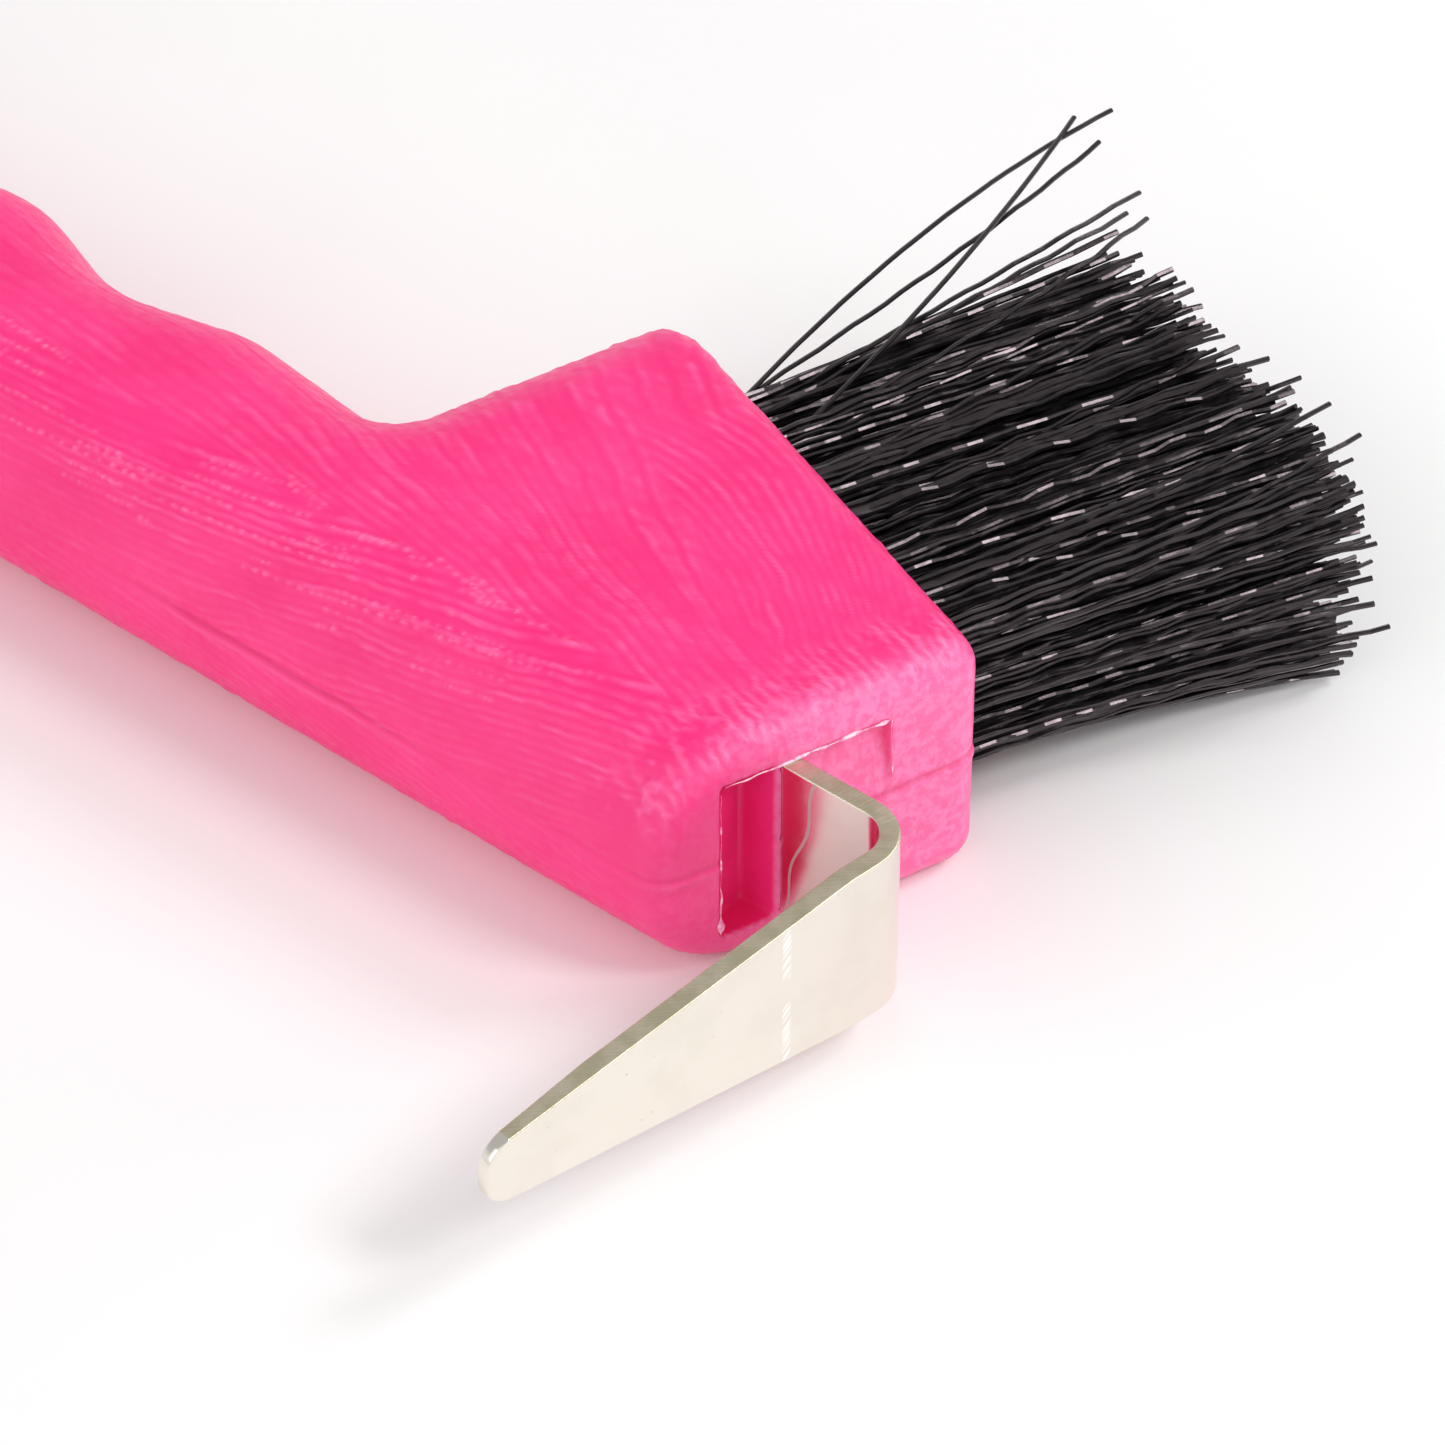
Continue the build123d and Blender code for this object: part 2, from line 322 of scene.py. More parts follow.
def face_material():
    """Bright nickel plate: cream white, with stains, pits, painted glints on scuffs, and a
    scratch.
    """
    m = Shading("nickel_face", Metallic=1.0)
    stain = m.remap(m.noise(5.5, 3.0, 0.6), 0.44, 0.66)
    colour = m.mix(stain, (0.86, 0.81, 0.735), (0.825, 0.775, 0.70))
    pits = m.remap(m.noise(0.34, 1.0, 0.5), 0.79, 0.83)
    colour = m.mix(pits, colour, (0.30, 0.26, 0.20))
    height = m.axis_mm("Z")
    blade = m.attribute("blade")
    clear = m.remap(m.band(height, 0.5, 0.9, 1.6), 0.0, 1.0, 1.0, 0.0)
    # painted glints: white ticks along the row of scuffs
    scuff_glints = m.line_noise(m.math("ADD", height, blade), 0.5, 3.0)
    scuff_glints = m.math("MULTIPLY", m.remap(scuff_glints, 0.47, 0.54), clear)
    scuff_glints = m.math("MULTIPLY", scuff_glints, m.band(blade, SCUFF_AT, 0.25, 0.5))
    colour = m.mix(scuff_glints, colour, (1.0, 1.0, 1.0))
    wander = m.math("MULTIPLY", m.math("SINE", m.math("MULTIPLY", height, 0.75), 0.0), 0.3)
    wander = m.math("ADD", wander, m.math("MULTIPLY", height, 0.22))
    scratch = m.band(m.math("SUBTRACT", m.axis_mm("X"), wander), SCRATCH_X, 0.05, 0.16)
    scratch = m.math("MULTIPLY", scratch, m.band(m.axis_mm("Y"), SHANK_INNER_Y, 0.03, 0.08))
    colour = m.mix(scratch, colour, (0.62, 0.60, 0.58))
    m.drive("Base Color", colour)
    even = m.remap(m.noise(3.0, 4.0, 0.6), 0.35, 0.7, 0.15, 0.19)
    m.drive("Roughness", m.math("ADD", even, m.math("MULTIPLY", scratch, 0.4)))
    m.bumps((m.noise(4.0, 2.0), 0.004), (m.noise(0.5, 2.0), 0.002))
    return m.material


def edge_material():
    """Sheared edges under the plate: duller, warm grey-green, cross-lined."""
    m = Shading("nickel_sheared_edge", Metallic=1.0)
    lines = m.remap(m.line_noise(m.attribute("run"), 0.2), 0.35, 0.65)
    colour = m.mix(
        m.remap(m.noise(2.2, 3.0, 0.6), 0.35, 0.65),
        (0.66, 0.61, 0.43),
        (0.79, 0.73, 0.56),
    )
    colour = m.mix(m.math("MULTIPLY", lines, 0.3), colour, (0.40, 0.36, 0.24))
    m.drive("Base Color", colour)
    m.drive("Roughness", m.remap(lines, 0.0, 1.0, 0.3, 0.46))
    m.bumps((lines, 0.012), (m.noise(0.4, 3.0), 0.01))
    return m.material


def filament_material():
    """Black drawn filament with a faint shine, tinted pink: painted colour in place of pink
    bounce light.
    """
    # pink Specular Tint: a painted tint on the shine, standing in for pink bounce light
    m = Shading("black_filament", IOR=1.65, Specular_Tint=(1.0, 0.82, 0.87, 1.0))
    shade = m.remap(m.noise(2.0, 2.0), 0.3, 0.7)
    m.drive("Base Color", m.mix(shade, (0.003, 0.0028, 0.0028), (0.011, 0.0105, 0.0105)))
    m.drive("Roughness", m.remap(m.noise(0.8, 2.0), 0.3, 0.7, 0.17, 0.27))
    m.bumps((m.noise(0.18, 2.0), 0.006))
    return m.material


def staple_material():
    """Plain flat steel wire."""
    m = Shading("staple_steel", Metallic=1.0)
    shade = m.remap(m.noise(0.6, 3.0), 0.35, 0.65)
    m.drive("Base Color", m.mix(shade, (0.45, 0.44, 0.42), (0.62, 0.61, 0.59)))
    m.drive("Roughness", m.remap(m.noise(0.3, 3.0), 0.3, 0.7, 0.28, 0.45))
    m.bumps((m.noise(0.12, 3.0), 0.01))
    return m.material


# ---- moulded body -------------------------------------------------------
def remeshed(node):
    """An even, closed mesh over a CAD node's surface."""
    work = bpy.data.objects.new("body_work", nodes[node].data.copy())
    bpy.context.scene.collection.objects.link(work)
    even = work.modifiers.new("even", "REMESH")
    even.mode = "VOXEL"
    even.voxel_size = VOXEL
    even.use_smooth_shade = True
    graph = bpy.context.evaluated_depsgraph_get()
    mesh = bpy.data.meshes.new_from_object(work.evaluated_get(graph))
    bpy.data.objects.remove(work)
    return mesh


def soft_step(x, width):
    """Smooth version of max(x, 0)."""
    return width * np.logaddexp(0, x / width)


def grain_run(x, y):
    """Grain lines of the tongues are where this run, in mm, is constant."""
    rise = y - GRAIN_AXIS_Y
    up = np.maximum(rise, 0)
    down = np.maximum(-rise, 0)
    spread_up = 1.15 * up + 24 * (1 - np.exp(-up / 7))
    spread_down = 4.3 * down - 9.3 * (1 - np.exp(-down / 6))
    stretch = 0.2 * x + 0.8 * soft_step(x - 82, 9)
    return stretch + spread_up + spread_down


def line_profile(run, pitch, seed):
    """Rounded ridges one pitch apart, each line with a strength of its own."""
    phase = run / pitch
    strength = np.random.default_rng(seed).uniform(0.25, 1.0, 997)
    own = strength[np.round(phase).astype(int) % len(strength)]
    wave = 0.5 + 0.5 * np.cos(2 * math.pi * phase)
    return own * wave**2.2


def wood_grain(p, seed):
    """Height from 0 to 1 of the grain at plan points wrapped round the sides."""
    x = p[:, 0] + 1.1 * noise(p, 9, seed) + 0.25 * noise(p, 1.9, seed + 1)
    y = p[:, 1] + 0.45 * noise(p, 7, seed + 2) + 0.12 * noise(p, 1.3, seed + 3)
    run = grain_run(x, y)
    rise = np.abs(y - GRAIN_AXIS_Y)
    coarse = line_profile(run, GRAIN_PITCH, seed + 4)
    fine = line_profile(run + 1.1, GRAIN_PITCH / 2, seed + 5)
    crowded = smooth(rise, 3.0, 8.0) * (y > GRAIN_AXIS_Y)
    grip = 1 - smooth(x, 70, 90)
    tongues = coarse * (1 - 0.6 * crowded) + fine * (0.25 + 0.6 * crowded)
    seam_x, seam_y = x - SEAM_APEX[0], y - SEAM_APEX[1]
    across = seam_x * math.sin(-SEAM_TURN) + seam_y * math.cos(SEAM_TURN)
    onward = seam_x * math.cos(SEAM_TURN) + seam_y * math.sin(SEAM_TURN)
    cross_run = x * math.sin(-CROSS_TURN) + y * math.cos(CROSS_TURN)
    cross = line_profile(cross_run + 0.02 * (x - 110) ** 2, CROSS_PITCH, seed + 6)
    beyond = smooth(across, -0.4, 0.4) * smooth(onward, -5, 0)
    lines = tongues * (1 - beyond) + cross * beyond
    along = np.c_[p[:, 0] / 5.0, p[:, 1] / 1.1, p[:, 2] / 3.0]
    patchy = smooth(noise(along, 1.0, seed + 7), -0.55, 0.45)
    knots = 0.72 + 0.55 * noise(p, (0.95, 0.6, 0.95), seed + 8)
    near = 1 - 0.45 * smooth(-y, 13, 20)
    return lines * (0.35 + 0.65 * patchy) * (1 - 0.3 * grip) * knots * near


def body_relief(points, normals):
    """Height in mm over the moulded skin, and the values painted on it."""
    p = points / MM
    half = nodes_box["handle_body"][1][2] / MM
    x, y, z = p.T
    end_gap = END_FACE_AT - points @ END_OUT / MM
    brush_gap = BRUSH_FACE_AT - points @ BRUSH_OUT / MM
    facing_end, facing_brush = normals @ END_OUT, normals @ BRUSH_OUT
    wrap = (half - np.abs(z)) * np.clip(normals[:, 1] * 1.6, -1, 1)
    plan = np.c_[x, y + wrap, np.where(z > 0, 0.0, 40.0)]
    under = z < 0
    plan[under, 0] += 3.3
    skin = (1 - smooth(facing_end, 0.75, 0.92)) * (1 - smooth(facing_brush, 0.8, 0.95))
    skin *= smooth(np.hypot(x, y), HANG_ZONE - 0.6, HANG_ZONE + 1.0)
    inside = (hole_distance(p) < HOLE_R + 0.4) & (brush_gap > 0.3) & (brush_gap < 9.6)
    slot_side = SHANK_INNER_Y - POCKET_LIP - POCKET_W - SLOT_CLEARANCE
    slot_top = nodes_box["steel_pick"][1][2] / MM + 2 * SLOT_CLEARANCE
    in_slot = (np.abs(z) < slot_top) & (x > SLOT_BACK_X) & (end_gap > 0.3)
    inside |= in_slot & (y > slot_side) & (y < 0.3)
    inside |= (np.abs(z) < half - 3) & (np.hypot(x, y) < HANG_INNER)
    skin *= ~inside
    outer = (~inside).astype(float)
    grain = wood_grain(plan, 11)
    end_zone = 1 - smooth(end_gap, 3.0, 8.5)
    lines = grain * skin * (1 - 0.75 * end_zone)
    slope_lines = (points @ END_ALONG) / MM + 0.35 * noise(p, 1.7, 31) + 0.12 * noise(p, 0.7, 32)
    striation = line_profile(slope_lines, END_PITCH, 33)
    striation *= smooth(noise(p, (2.0, 2.0, 3.0), 34), -0.5, 0.4)
    top_side = smooth(normals[:, 2], 0.1, 0.45) + 0.3 * smooth(-normals[:, 2], 0.1, 0.45)
    lines += 0.8 * striation * end_zone * skin * top_side
    height = GRAIN_DEPTH * lines
    beads = bead_field(plan, z) * skin * (1 - end_zone)
    height += BEAD_HEIGHT * beads
    corner_zone = end_zone * skin * top_side * smooth(noise(p, (0.7, 0.5, 0.7), 43), 0.15, 0.55)
    height += 0.1 * corner_zone
    wall = outer * (1 - smooth(np.abs(normals[:, 2]), 0.35, 0.7)) * smooth(x, -8, 4)
    fade = smooth(noise(np.c_[x, y, 0 * z], 14, 51), -0.45, 0.15)
    fade = np.maximum(fade, end_zone * smooth(y, 2, 6))
    fade = np.where(y < 0, 0.5 * fade, fade)
    fade = np.maximum(fade, smooth(x, 78, 84) * (1 - smooth(x, 98, 108)) * (y < 0))
    parting_z = z - 0.12 * noise(np.c_[x, y, 0 * z], 5, 52)
    groove = np.exp(-((parting_z - 0.2) / 0.28) ** 2)
    lip = np.exp(-((parting_z + 0.4) / 0.3) ** 2)
    height += wall * (0.2 + 0.8 * fade) * (PARTING_LIP * lip - PARTING_DEPTH * groove)
    height += 0.03 * outer * noise(p, 6, 61) + 0.012 * outer * noise(p, 1.2, 62)
    flat_end = smooth(facing_end, 0.55, 0.95) * (1 - smooth(end_gap, 3.5, 5.0))
    # painted sheen over the end face, its rim and the striations, weaker towards the near side
    # away from the light
    painted_sheen = 0.95 * flat_end + 0.6 * (1 - smooth(end_gap, 0.4, 4.0)) * (1 - flat_end)
    painted_sheen *= 0.25 + 0.75 * smooth(y, -9, 3)
    painted_sheen += 0.7 * striation * end_zone * top_side * (1 - flat_end) * smooth(y, -12, -6)
    paint = {
        # painted highlight on the grain ridges, the parting lip and the pebbles by the end face
        "ridge_highlight": np.clip(lines + 0.5 * wall * lip * fade + 0.6 * corner_zone, 0, 1),
        # painted highlight on the beads
        "bead_highlight": np.clip(beads, 0, 1),
        # painted sheen on the end face and its rim
        "painted_sheen": np.clip(outer * painted_sheen, 0, 1),
        # painted shade in the parting line's groove
        "groove_shade": np.clip(wall * groove * (0.15 + 0.85 * fade), 0, 1),
    }
    return height, paint


def bead_field(plan, z):
    """Height from 0 to 1 of the small beads strung along the grain."""
    rng = np.random.default_rng(140)
    beads = []
    for chain in range(BEAD_CHAINS):
        x, y = rng.uniform(46, 116), rng.uniform(-15.5, -3)
        tallest = rng.uniform(0.45, 1)
        spacing = rng.uniform(0.5, 1.1)
        for _ in range(rng.integers(1, 17)):
            own = tallest * rng.uniform(0.3, 1)
            beads.append((x + rng.normal(0, 0.05), y + rng.normal(0, 0.05), own))
            probe = grain_run(np.array((x + 0.2, x, x)), np.array((y, y + 0.2, y)))
            slope = np.array((probe[0] - probe[2], probe[1] - probe[2]))
            onward = np.array((slope[1], -slope[0])) * (1 if slope[1] > 0 else -1)
            onward *= spacing * rng.uniform(0.8, 1.3) / np.linalg.norm(onward)
            x, y = x + onward[0], y + onward[1]
    tree = KDTree(len(beads))
    for i, (x, y, _) in enumerate(beads):
        tree.insert((x, y, 0), i)
    tree.balance()
    field = np.zeros(len(plan))
    zone = z > -2
    for axis, (low, high) in enumerate(BEAD_ZONE):
        zone &= (plan[:, axis] > low) & (plan[:, axis] < high)
    for i in np.flatnonzero(zone):
        _, nearest, away = tree.find((plan[i, 0], plan[i, 1], 0))
        field[i] = beads[nearest][2] * math.exp(-(away / BEAD_R) ** 2)
    return field


def hole_distance(p):
    """Distance from each point to the nearest bundle's axis."""
    nearest = np.full(len(p), 1e9)
    for name in tuft_names:
        away = p - tuft_frame(name)[0] / MM
        away -= (away @ BRUSH_OUT)[:, None] * BRUSH_OUT
        nearest = np.minimum(nearest, np.linalg.norm(away, axis=1))
    return nearest


def make_body(material):
    """The moulding, with its grain, beads and parting line."""
    mesh = remeshed("handle_body")
    points = mesh_points(mesh)
    normals = mesh_points(mesh, "normal")
    height, paint = body_relief(points, normals)
    moved = points + normals * (height * MM)[:, None]
    mesh.vertices.foreach_set("co", moved.astype(np.float32).ravel())
    for name, values in paint.items():
        layer = mesh.attributes.new(name, "FLOAT", "POINT")
        layer.data.foreach_set("value", values.astype(np.float32))
    mesh.update()
    mesh.shade_smooth()
    add_piece("handle_moulding", mesh, material, "body_plastic", "handle_body")


def on_end_face(y, z, out=0.0):
    """A point on the end face at that height and distance across, in metres."""
    along = (y - END_FACE_AT * END_OUT[1]) / END_ALONG[1]
    return MM * ((END_FACE_AT + out) * END_OUT + along * END_ALONG + z * UP)


def flash_material():
    """The body's plastic where it is thin, paled to white as a painted highlight."""
    m = Shading(
        "flash_painted_highlight",
        Subsurface_Weight=0.3,
        Subsurface_Radius=(0.6, 0.3, 0.4),
        Subsurface_Scale=1.0 * MM,
    )
    pale = m.remap(m.noise(0.7, 3.0), 0.38, 0.6)
    # painted highlight: the flash runs from pink to near white
    m.drive("Base Color", m.mix(pale, (1.0, 0.2, 0.46), (1.0, 0.72, 0.84)))
    m.drive("Roughness", m.remap(m.noise(0.4, 2.0), 0.3, 0.7, 0.3, 0.5))
    m.bumps((m.noise(0.25, 2.0), 0.02))
    return m.material


def make_flash(material):
    """Ragged threads of moulding flash round the slot's rim."""
    top = nodes_box["steel_pick"][1][2] / MM + SLOT_CLEARANCE
    y0 = SHANK_INNER_Y - POCKET_LIP - POCKET_W
    y1 = nodes_box["steel_pick"][1][1] / MM + RECESS_W - 0.4
    runs = (
        ((y0 + 0.3, top), (y1, top), 0.15, 0.9),
        ((y0, top - 0.6), (y0, -top + 0.4), 0.07, -0.2),
        ((y1 + 0.05, top - 0.1), (y1 + 0.3, 0.8), 0.05, -0.2),
    )
    threads = []
    for i, (start, end, thick, present) in enumerate(runs):
        span = math.dist(start, end)
        steps = int(span / 0.16)
        t = np.linspace(0, 1, steps)
        y = start[0] + (end[0] - start[0]) * t
        z = start[1] + (end[1] - start[1]) * t
        at = np.c_[y, z, 0 * t + 9 * i]
        rough = smooth(noise(at, 0.9, 80 + i), -0.9 * present, 0.6)
        blob = np.exp(-((t - 0.93) / 0.04) ** 2) * (i == 1) * 4.5
        ends = smooth(t, 0, 0.04) * (1 - smooth(t, 0.96, 1))
        size = thick * (0.15 * (i == 0) + rough + blob) * ends + 0.01
        wander = 0.09 * noise(at, 1.1, 90 + i)
        path = np.array([on_end_face(a, b, 0.02) for a, b in zip(y, z)])
        path += MM * wander[:, None] * (UP if i == 0 else END_ALONG)
        verts, faces = tube(path, END_OUT, 1.0, 1.0, sides=FLASH_SIDES)
        core = np.repeat(path, FLASH_SIDES, axis=0)
        verts = core + (verts - core) * np.repeat(size * MM, FLASH_SIDES)[:, None]
        threads.append((verts, faces))
    mesh = merged("slot_flash", threads)
    mesh.shade_smooth()
    add_piece("slot_flash", mesh, material, "body_plastic")


# ---- steel pick ---------------------------------------------------------
STRIP_T = 1.6                # mm; the strip's thickness
PICK_BEVEL = 0.16 * MM
TIP_PLATED = 37.5 * MM       # the edges are plated bright from here to the tip
SCRATCH_X = 136.4            # mm; the scratch down the shank's inner side
SCUFF_AT = 12.3              # mm along the blade; a row of short slanted scuffs with painted glints
SHARP = math.radians(35)


def make_pick(face, edge):
    """The folded strip, with rounded edges and two finishes."""
    mesh = nodes["steel_pick"].data.copy()
    mesh.materials.clear()
    mesh.materials.append(face)
    mesh.materials.append(edge)
    b = bmesh.new()
    b.from_mesh(mesh)
    bmesh.ops.remove_doubles(b, verts=b.verts, dist=0.002 * MM)
    bmesh.ops.dissolve_limit(
        b, angle_limit=math.radians(0.6), verts=b.verts, edges=b.edges
    )
    sharp = [e for e in b.edges if e.is_manifold and e.calc_face_angle(0) > SHARP]
    bmesh.ops.bevel(
        b, geom=sharp, offset=PICK_BEVEL, segments=3, profile=0.5, affect="EDGES"
    )
    bmesh.ops.triangulate(b, faces=b.faces)
    b.normal_update()
    for f in b.faces:
        f.smooth = True
        normal = np.array(f.normal)
        reach = (np.array(f.calc_center_median()) - FOLD_CORNER) @ BLADE_ALONG
        sheared = abs(normal[2]) > 0.62 and reach < TIP_PLATED
        f.material_index = 1 if sheared else 0
    b.to_mesh(mesh)
    b.free()
    paint_pick(mesh)
    piece = add_piece("steel_pick_plated", mesh, None, "nickel_plate", "steel_pick")
    even = piece.modifiers.new("even_shading", "WEIGHTED_NORMAL")
    even.weight = 100


def paint_pick(mesh):
    """How far along the strip and along the blade each point is, in mm."""
    p = mesh_points(mesh) / MM
    blade = (p - FOLD_CORNER / MM) @ BLADE_ALONG
    run = p[:, 0] + np.maximum(blade, 0)
    for name, values in (("run", run), ("blade", blade)):
        layer = mesh.attributes.new(name, "FLOAT", "POINT")
        layer.data.foreach_set("value", values.astype(np.float32))


# ---- brush --------------------------------------------------------------
def strand_places():
    """Where the folded strands stand in a hole: along and off the staple."""
    places = []
    off = SLIT
    while off < BUNDLE_R:
        reach = math.sqrt(BUNDLE_R**2 - off**2)
        count = max(1, int(2 * reach / LEG_PITCH) + 1)
        for i in range(count):
            places.append(((i - (count - 1) / 2) * LEG_PITCH, off))
        off += LEG_ROW
    return places


def tube(path, reference, wide, thick, turned=0.0, sides=FILAMENT_SIDES):
    """Vertices and faces of a capped, flattened tube along a path."""
    ahead = np.gradient(path, axis=0)
    ahead /= np.linalg.norm(ahead, axis=1)[:, None]
    across = reference - (ahead @ reference)[:, None] * ahead
    across /= np.linalg.norm(across, axis=1)[:, None]
    other = np.cross(ahead, across)
    flat = math.cos(turned) * across + math.sin(turned) * other
    upright = math.cos(turned) * other - math.sin(turned) * across
    turn = 2 * math.pi * (np.arange(sides) + 0.5) / sides
    ring = (
        wide * np.cos(turn)[None, :, None] * flat[:, None, :]
        + thick * np.sin(turn)[None, :, None] * upright[:, None, :]
    )
    verts = (path[:, None, :] + ring).reshape(-1, 3)
    faces = []
    for i in range(len(path) - 1):
        for j in range(sides):
            k = (j + 1) % sides
            low, high = i * sides, (i + 1) * sides
            faces.append((low + j, low + k, high + k, high + j))
    faces.append(tuple(reversed(range(sides))))
    last = (len(path) - 1) * sides
    faces.append(tuple(range(last, last + sides)))
    return verts, faces


def merged(name, tubes):
    """One mesh of many tubes, each given as its vertices and faces."""
    verts, faces, count = [], [], 0
    for v, f in tubes:
        verts.append(v)
        faces += [tuple(k + count for k in face) for face in f]
        count += len(v)
    mesh = bpy.data.meshes.new(name)
    mesh.from_pydata(np.vstack(verts).tolist(), [], faces)
    return mesh


def off_brush_face(origin, local):
    """Points in metres from mm along the brush face, up it and out of it."""
    out = local[:, :1] * BRUSH_ALONG + local[:, 1:2] * UP + local[:, 2:] * BRUSH_OUT
    return origin + MM * out


def leg_path(start, length, aim, crimp, phase, bow):
    """One leg from the mouth to its tip, in mm: along, up and out of the face."""
    s = np.linspace(0, 1, STEPS)
    eased = s**1.5
    wave = np.sin(2 * math.pi * (s * length / CRIMP_PITCH + phase)) * smooth(s, 0, 0.12)
    path = np.zeros((STEPS, 3))
    for axis in (0, 1):
        path[:, axis] = start[axis] + aim[axis] * eased + crimp[axis] * wave
        path[:, axis] += bow[axis] * np.sin(math.pi * s)
    path[:, 2] = s * length
    return path


def tuft_frame(name):
    """Mouth centre and tip offset of one CAD bundle."""
    points = mesh_points(nodes[name].data)
    out = points @ BRUSH_OUT
    foot = points[out < out.min() + 0.01 * MM]
    tip = points[out > out.max() - 0.01 * MM]
    mouth = (foot.min(0) + foot.max(0)) / 2 + HOLE_DEPTH * MM * BRUSH_OUT
    return mouth, (tip.min(0) + tip.max(0)) / 2 - mouth


def make_tuft(row, column, material):
    """Crimped strands folded under their staple, trimmed a little unevenly."""
    name = f"tuft_{row}_{column}"
    rng = np.random.default_rng(1000 + 10 * row + column)
    mouth, reach = tuft_frame(name)
    lean = np.array((reach @ BRUSH_ALONG, reach @ UP)) / MM
    turn = np.array((math.cos(STAPLE_TURN), math.sin(STAPLE_TURN)))
    off_turn = np.array((-turn[1], turn[0]))
    crimp_turn = rng.normal(CRIMP_TURN, 0.3)
    phase = rng.uniform(0, 1)
    length = LENGTHS[column - 1]
    reference = turn[0] * BRUSH_ALONG + turn[1] * UP
    strands = []
    for along, off in strand_places():
        legs = []
        for side in (1, -1):
            start = turn * along + off_turn * off * side + rng.normal(0, 0.05, 2)
            aim = lean + start * (TIP_SPREAD - 1) + rng.normal(0, TIP_DRIFT, 2)
            if rng.random() < SPLAYED_SHARE:
                aim += rng.normal(0, 1.5, 2)
            angle = crimp_turn + rng.normal(0, 0.35)
            size = CRIMP * rng.uniform(0.75, 1.2)
            crimp = size * np.array((math.cos(angle), math.sin(angle)))
            bow = rng.normal(0, 0.22, 2)
            own = length + rng.normal(0, 0.7)
            if rng.random() < SHORT_SHARE:
                own -= rng.uniform(1, 3.5)
            path = leg_path(start, own, aim, crimp, phase + rng.normal(0, 0.12), bow)
            legs.append(path)
        bend = -FOLD_DEPTH - FOLD_STEP * (off > 1)
        middle = (legs[0][0] + legs[1][0]) / 2
        depth = np.array((0, 0, 1.0))
        down = [legs[0][0] + depth * d for d in ANCHOR_DEPTHS]
        low = [middle + depth * bend]
        rise = [legs[1][0] + depth * d for d in ANCHOR_DEPTHS]
        local = np.vstack([legs[0][::-1], down[::-1], low, rise, legs[1]])
        path = off_brush_face(mouth, local)
        turned = rng.uniform(0, math.pi)
        strands.append(tube(path, reference, FILAMENT_WIDE * MM, FILAMENT_THICK * MM, turned))
    mesh = merged(name + "_strands", strands)
    mesh.shade_flat()
    add_piece(name + "_strands", mesh, material, "filament", name)


STRAYS = (
    # row, column, middle and tip on the brush face, in mm: along, up, out
    (3, 7, (45.4, 11.0, 21.5), (49.4, 13.3, 41.7)),
    (3, 7, (42.2, 10.0, 21.0), (46.5, 13.0, 38.7)),
    (3, 6, (39.2, 10.8, 19.5), (50.2, 13.2, 38.6)),
    (3, 7, (38.9, 9.2, 20.8), (42.8, 9.8, 40.4)),
    (3, 7, (38.3, 8.6, 20.0), (41.2, 9.4, 38.2)),
    (3, 6, (34.9, 8.4, 20.0), (39.8, 9.6, 39.2)),
    (3, 2, (11.6, 7.6, 20.0), (12.4, 9.8, 38.6)),
    (3, 1, (6.9, 7.4, 20.0), (8.3, 9.6, 38.7)),
    (2, 1, (6.4, 2.0, 20.0), (3.4, 2.6, 37.5)),
    (1, 2, (11.0, -6.8, 20.0), (7.6, -7.6, 37.0)),
)


def make_strays(material):
    """Single bristles that have sprung out of their bundles."""
    strays = []
    for i, (row, column, middle, tip) in enumerate(STRAYS):
        rng = np.random.default_rng(500 + i)
        mouth = tuft_frame(f"tuft_{row}_{column}")[0] - FACE_CORNER
        start = np.array((mouth @ BRUSH_ALONG, mouth @ UP, 0)) / MM
        start[:2] += rng.uniform(-0.8, 0.8, 2) + (0, 0.5)
        t = np.linspace(0, 1, STEPS)[:, None]
        middle, tip = np.array(middle), np.array(tip)
        bend = 2 * middle - 0.5 * (start + tip)
        local = (1 - t) ** 2 * start + 2 * t * (1 - t) * bend + t**2 * tip
        wave = np.sin(2 * math.pi * (t[:, 0] * tip[2] / CRIMP_PITCH + rng.random()))
        local[:, :2] += 0.1 * (wave * smooth(t[:, 0], 0, 0.1))[:, None] * rng.uniform(-1, 1, 2)
        local = np.vstack([(start[0], start[1], -5.0), local])
        path = off_brush_face(FACE_CORNER, local)
        strays.append(tube(path, BRUSH_ALONG, 0.9 * FILAMENT_WIDE * MM, FILAMENT_THICK * MM))
    mesh = merged("stray_bristles", strays)
    mesh.shade_flat()
    add_piece("stray_bristles", mesh, material, "filament")


# ---- studio -------------------------------------------------------------
def make_floor():
    """A plain pale floor that runs past every view."""
    b = bmesh.new()
    bmesh.ops.create_circle(b, cap_ends=True, radius=FLOOR_R, segments=FLOOR_SIDES)
    mesh = bpy.data.meshes.new("floor")
    b.to_mesh(mesh)
    b.free()
    floor = bpy.data.objects.new("floor", mesh)
    floor.location = (CAMERA_TARGET.x, CAMERA_TARGET.y, cad_low.z)
    bpy.context.scene.collection.objects.link(floor)
    m = Shading("paper_floor", Roughness=0.9)
    shade = m.remap(m.noise(60, 2.0), 0.3, 0.7)
    m.drive("Base Color", m.mix(shade, (0.93, 0.925, 0.925), (0.96, 0.955, 0.955)))
    m.bumps((m.noise(0.8, 3.0), 0.01))
    mesh.materials.append(m.material)


def soft_light(name, place, aim, size, power, colour=(1, 1, 1)):
    """A square soft box at a place, facing another."""
    light = bpy.data.lights.new(name, "AREA")
    light.shape = "SQUARE"
    light.size = size
    light.energy = power
    light.color = colour
    holder = bpy.data.objects.new(name, light)
    holder.location = place
    heading = Vector(aim) - Vector(place)
    holder.rotation_euler = heading.to_track_quat("-Z", "Y").to_euler()
    bpy.context.scene.collection.objects.link(holder)


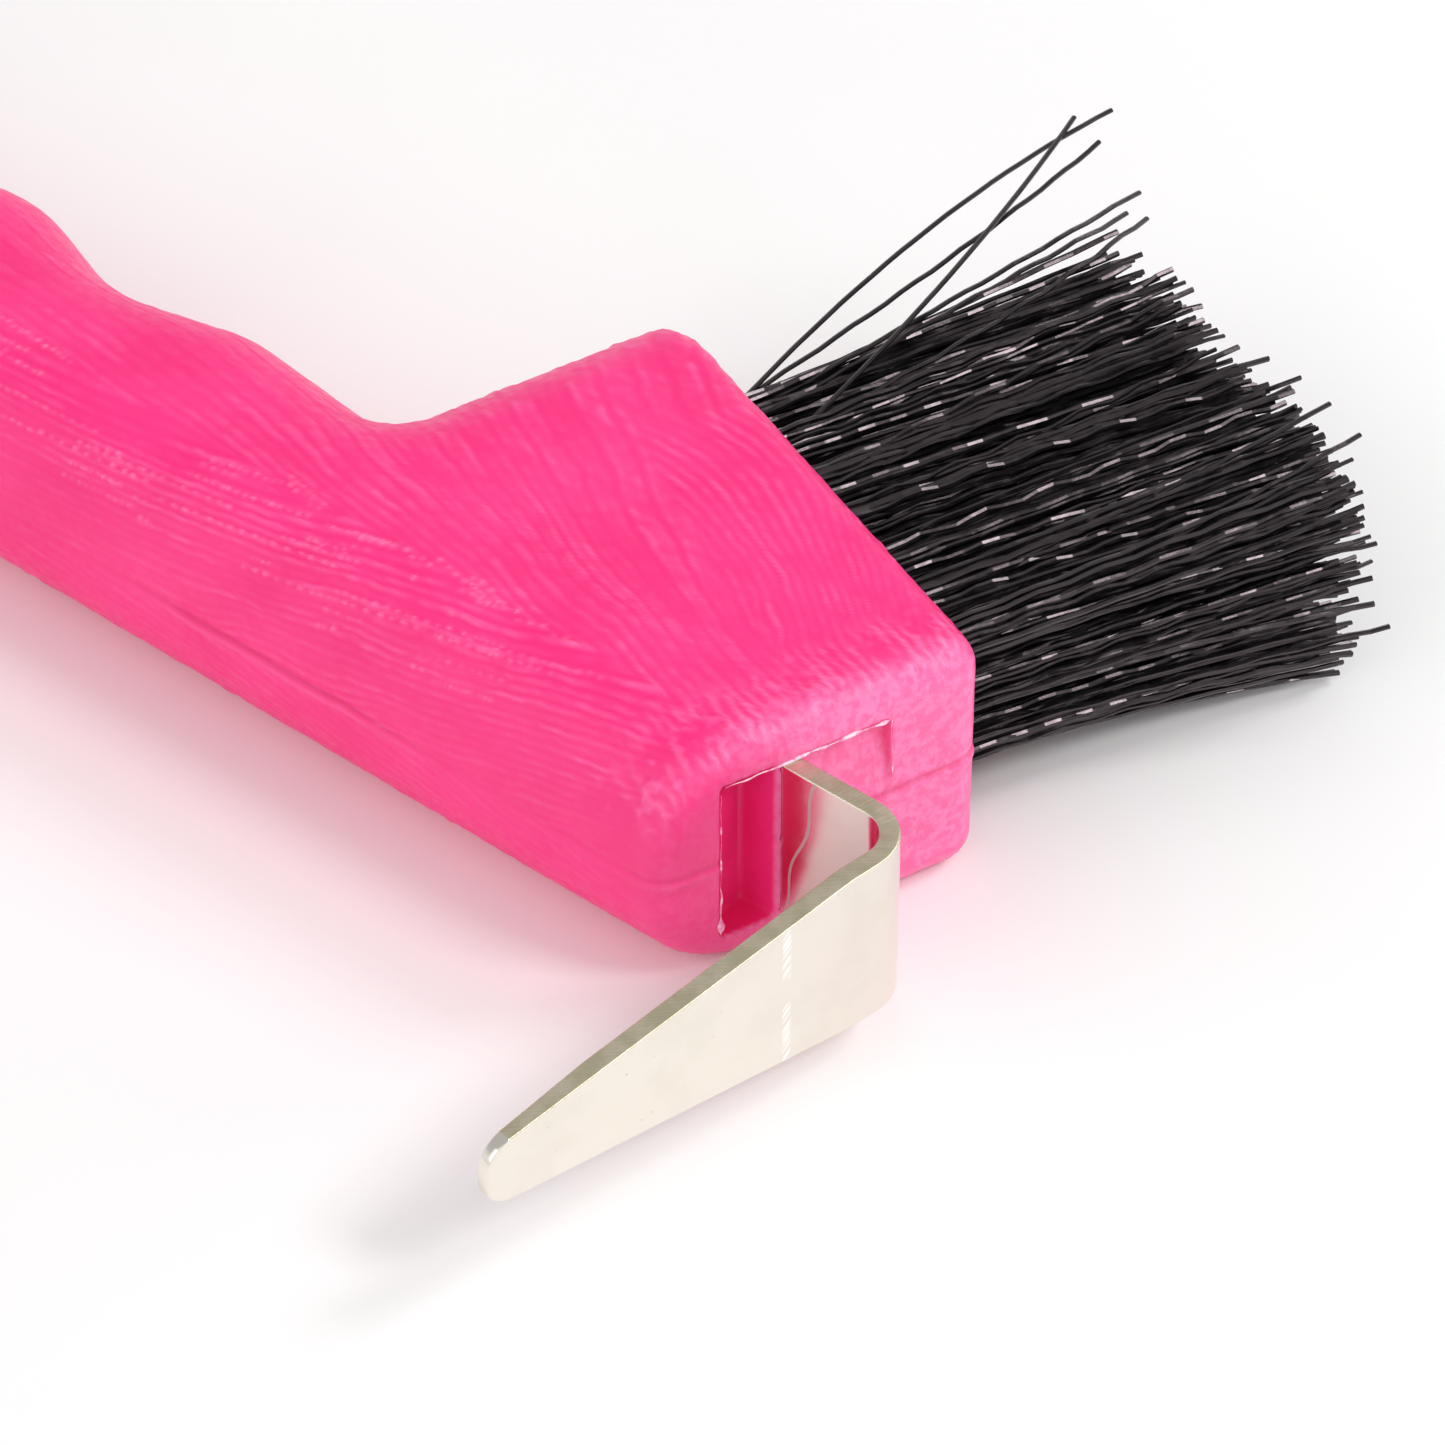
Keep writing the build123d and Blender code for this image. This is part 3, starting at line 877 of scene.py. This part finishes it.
def make_studio():
    """Pale surroundings, two lights from the brush side and two soft fills."""
    world = bpy.data.worlds.new("studio")
    world.use_nodes = True
    back = world.node_tree.nodes["Background"]
    back.inputs["Color"].default_value = (1.0, 0.995, 0.99, 1)
    tree = world.node_tree
    place = tree.nodes.new("ShaderNodeTexCoord")
    split = tree.nodes.new("ShaderNodeSeparateXYZ")
    ramp = tree.nodes.new("ShaderNodeValToRGB")
    while len(ramp.color_ramp.elements) < len(SKY):
        ramp.color_ramp.elements.new(0.5)
    for stop, (rise, strength) in zip(ramp.color_ramp.elements, SKY):
        stop.position = rise
        stop.color = (strength, strength, strength, 1)
    tree.links.new(place.outputs["Generated"], split.inputs["Vector"])
    tree.links.new(split.outputs["Z"], ramp.inputs["Fac"])
    tree.links.new(ramp.outputs["Color"], back.inputs["Strength"])
    bpy.context.scene.world = world
    middle = (CAMERA_TARGET.x, CAMERA_TARGET.y, 0)
    soft_light("key", (0.55, 0.70, 0.80), middle, 0.32, 3.1)
    soft_light("glint", (0.90, 0.25, 0.85), middle, 0.32, 4.3)
    soft_light("fill", (-0.05, -0.85, 0.55), middle, 0.7, 2.3)
    soft_light("front", (0.75, -0.75, 0.8), middle, 0.8, 1.55)


def make_camera():
    """The photograph's camera, looking down on the head from the pick's side."""
    camera = bpy.data.objects.new("camera", bpy.data.cameras.new("camera"))
    back = Vector((
        math.sin(CAMERA_AZIMUTH) * math.cos(CAMERA_ELEVATION),
        -math.cos(CAMERA_AZIMUTH) * math.cos(CAMERA_ELEVATION),
        math.sin(CAMERA_ELEVATION),
    ))
    camera.location = CAMERA_TARGET + back * CAMERA_DISTANCE
    camera.rotation_euler = (-back).to_track_quat("-Z", "Y").to_euler()
    camera.data.lens = CAMERA_LENS
    camera.data.sensor_width = SENSOR
    camera.data.clip_start = 0.01
    bpy.context.scene.collection.objects.link(camera)
    bpy.context.scene.camera = camera
    bpy.context.scene.view_settings.view_transform = "Standard"


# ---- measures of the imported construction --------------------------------
nodes_box = {
    name: (np.array(low), np.array(high))
    for name in ("handle_body", "steel_pick")
    for low, high in (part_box(name),)
}
body_points = mesh_points(nodes["handle_body"].data)
END_FACE_AT = (body_points @ END_OUT).max() / MM
BRUSH_FACE_AT = (body_points @ BRUSH_OUT).max() / MM
SHANK_INNER_Y = nodes_box["steel_pick"][1][1] / MM - STRIP_T
FOLD_CORNER = np.array(
    (nodes_box["steel_pick"][1][0] - STRIP_T * MM, SHANK_INNER_Y * MM, 0)
)

tuft_names = [n for n in nodes if n.startswith("tuft")]
# Where the end face and the brush face would meet, on the parting plane.
to_corner = (END_FACE_AT - BRUSH_FACE_AT * (END_OUT @ BRUSH_OUT)) / (END_OUT @ BRUSH_ALONG)
FACE_CORNER = MM * (BRUSH_FACE_AT * BRUSH_OUT + to_corner * BRUSH_ALONG)

# ---- build --------------------------------------------------------------
make_floor()
make_studio()
make_camera()
make_body(plastic_material())
make_flash(flash_material())
make_pick(face_material(), edge_material())
filament = filament_material()
for row in (1, 2, 3):
    for column in range(1, 8):
        make_tuft(row, column, filament)
make_strays(filament)
steel = staple_material()
for name, node in nodes.items():
    if name.startswith("staple"):
        node.data.materials.clear()
        node.data.materials.append(steel)
